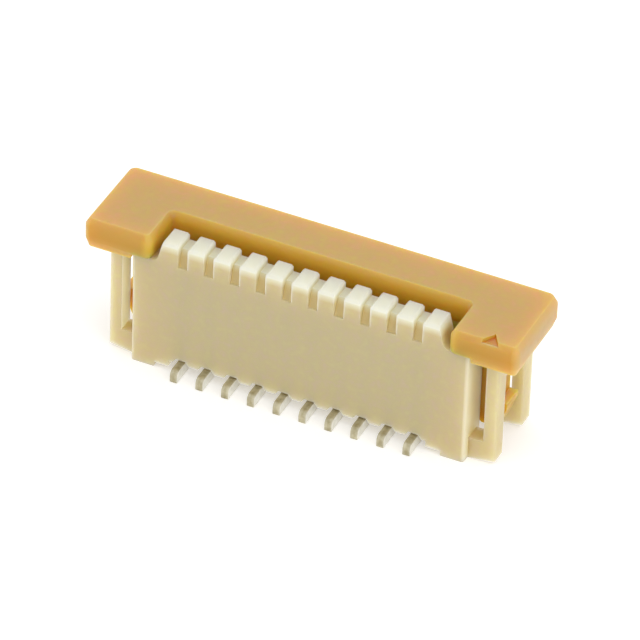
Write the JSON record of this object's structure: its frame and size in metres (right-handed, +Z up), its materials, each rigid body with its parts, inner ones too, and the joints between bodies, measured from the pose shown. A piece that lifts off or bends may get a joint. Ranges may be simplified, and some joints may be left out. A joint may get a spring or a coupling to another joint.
{
  "type": "fpc connector",
  "caption": "Vertical surface mount connector for a flat flexible cable, with a moulded housing, stamped contacts and a sliding lock.",
  "frame": {"origin": "on the circuit board, at the centre of the connector's outline seen from above", "axes": "+Z up, away from the board; X along the row of contacts; the solder tails point to -Y, the front"},
  "size_m": [0.0166, 0.0042, 0.0056],
  "materials": {
    "housing_plastic": "moulded, ivory",
    "slider_plastic": "moulded, amber",
    "contact_metal": "tin plated"
  },
  "bodies": {
    "housing_body": {"housing": "housing_plastic", "contact_01": "contact_metal", "contact_02": "contact_metal", "contact_03": "contact_metal", "contact_04": "contact_metal", "contact_05": "contact_metal", "contact_06": "contact_metal", "contact_07": "contact_metal", "contact_08": "contact_metal", "contact_09": "contact_metal", "contact_10": "contact_metal"},
    "slider_body": {"slider": "slider_plastic"}
  },
  "joints": [
    {"name": "slider_lift", "type": "slide", "parent": "housing_body", "child": "slider_body", "axis": [0, 0, 1], "range_m": [0, 0.0015]}
  ]
}
